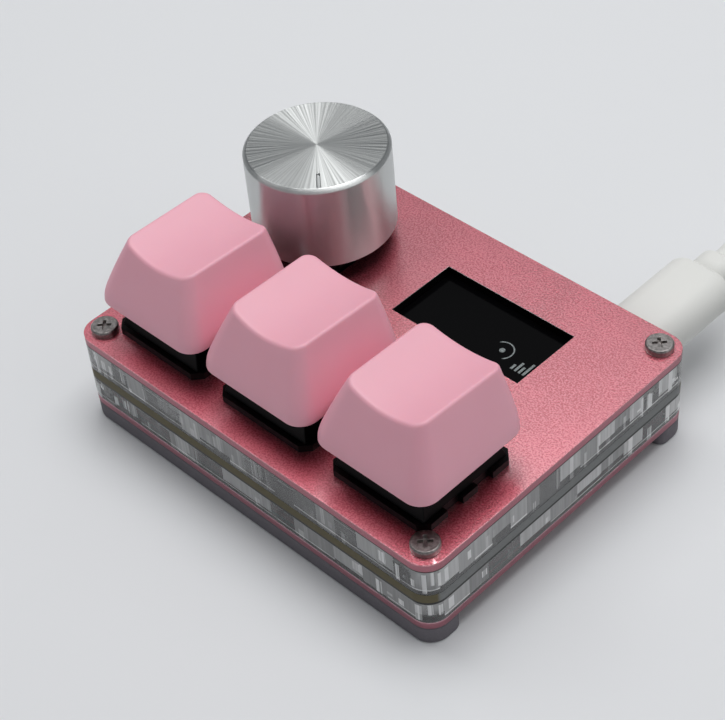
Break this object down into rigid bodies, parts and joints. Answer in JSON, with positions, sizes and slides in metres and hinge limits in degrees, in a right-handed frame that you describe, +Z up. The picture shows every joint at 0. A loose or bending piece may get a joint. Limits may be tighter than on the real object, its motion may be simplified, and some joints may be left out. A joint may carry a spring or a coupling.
{
  "type": "macro keypad with a knob",
  "caption": "Small desk keypad with sprung mechanical keys, a turning and pressing knob and a display window on a sandwich of plates and clear frames, with its USB lead.",
  "frame": {"origin": "middle of the keypad's footprint, at the underside of the rubber strips it stands on", "axes": "+X along the key row to the right, +Y from the keys to the knob and the socket, +Z up"},
  "size_m": [0.1162, 0.118, 0.029],
  "materials": {
    "plate": "pink anodised sheet, satin",
    "acrylic": "clear cast acrylic, laser-cut edge",
    "board": "glass-fibre board, dark solder mask",
    "foot_rubber": "dark grey rubber strip",
    "screw": "dark nickel-plated steel",
    "display": "black display glass",
    "foam": "black foam tape",
    "ribbon": "amber film ribbon",
    "plated_steel": "nickel-plated sheet steel",
    "black_plastic": "black moulded plastic",
    "stem_plastic": "brown moulded plastic",
    "brass_contact": "bare contact metal",
    "spring_steel": "bright drawn wire",
    "keycap": "pink moulded plastic, fine matte",
    "shaft_metal": "turned metal",
    "knob_metal": "turned, anodised silver",
    "grey_plastic": "dark grey moulded plastic",
    "lead_white": "white soft moulding",
    "tie_grey": "dark woven hook tape"
  },
  "bodies": {
    "base": {"top_plate": "plate", "upper_frame": "acrylic", "main_board": "board", "lower_frame": "acrylic", "bottom_plate": "plate", "front_foot": "foot_rubber", "rear_foot": "foot_rubber", "corner_screws": "screw", "display_glass": "display", "display_pad": "foam", "display_flex": "ribbon", "usb_socket_shell": "plated_steel", "usb_socket_tongue": "black_plastic", "controller_chip": "black_plastic", "board_parts": "black_plastic", "switch_base_1": "black_plastic", "switch_cover_1": "black_plastic", "switch_spring_1": "spring_steel", "switch_contacts_1": "brass_contact", "switch_base_2": "black_plastic", "switch_cover_2": "black_plastic", "switch_spring_2": "spring_steel", "switch_contacts_2": "brass_contact", "switch_base_3": "black_plastic", "switch_cover_3": "black_plastic", "switch_spring_3": "spring_steel", "switch_contacts_3": "brass_contact", "encoder_base": "black_plastic", "encoder_cover": "plated_steel", "encoder_pins": "plated_steel", "encoder_dome": "plated_steel", "plug_grip": "lead_white", "plug_shell": "plated_steel", "plug_relief": "lead_white", "cable_run": "lead_white", "cable_coil": "lead_white", "cable_tie": "tie_grey", "cable_tail": "lead_white", "far_grip": "lead_white", "far_shell": "plated_steel", "far_relief": "lead_white"},
    "key_1": {"switch_stem_1": "stem_plastic", "keycap_1": "keycap"},
    "key_2": {"switch_stem_2": "stem_plastic", "keycap_2": "keycap"},
    "key_3": {"switch_stem_3": "stem_plastic", "keycap_3": "keycap"},
    "rotor": {"encoder_rotor": "brass_contact"},
    "knob": {"encoder_shaft": "shaft_metal", "knob_shell": "knob_metal", "knob_core": "grey_plastic"}
  },
  "joints": [
    {"name": "key_1_press", "type": "slide", "parent": "base", "child": "key_1", "axis": [0, 0, -1], "range_m": [0, 0.004], "stiffness_N_per_m": 75, "springref_m": -0.004, "deforming": ["switch_spring_1"]},
    {"name": "key_2_press", "type": "slide", "parent": "base", "child": "key_2", "axis": [0, 0, -1], "range_m": [0, 0.004], "stiffness_N_per_m": 75, "springref_m": -0.004, "deforming": ["switch_spring_2"]},
    {"name": "key_3_press", "type": "slide", "parent": "base", "child": "key_3", "axis": [0, 0, -1], "range_m": [0, 0.004], "stiffness_N_per_m": 75, "springref_m": -0.004, "deforming": ["switch_spring_3"]},
    {"name": "knob_turn", "type": "hinge", "parent": "base", "child": "rotor", "pos_m": [-0.01905, 0.0103, 0.0139], "axis": [0, 0, 1], "continuous": true},
    {"name": "knob_press", "type": "slide", "parent": "rotor", "child": "knob", "axis": [0, 0, -1], "range_m": [0, 0.0005], "stiffness_N_per_m": 2500, "springref_m": -0.0004, "deforming": ["encoder_dome"]}
  ]
}
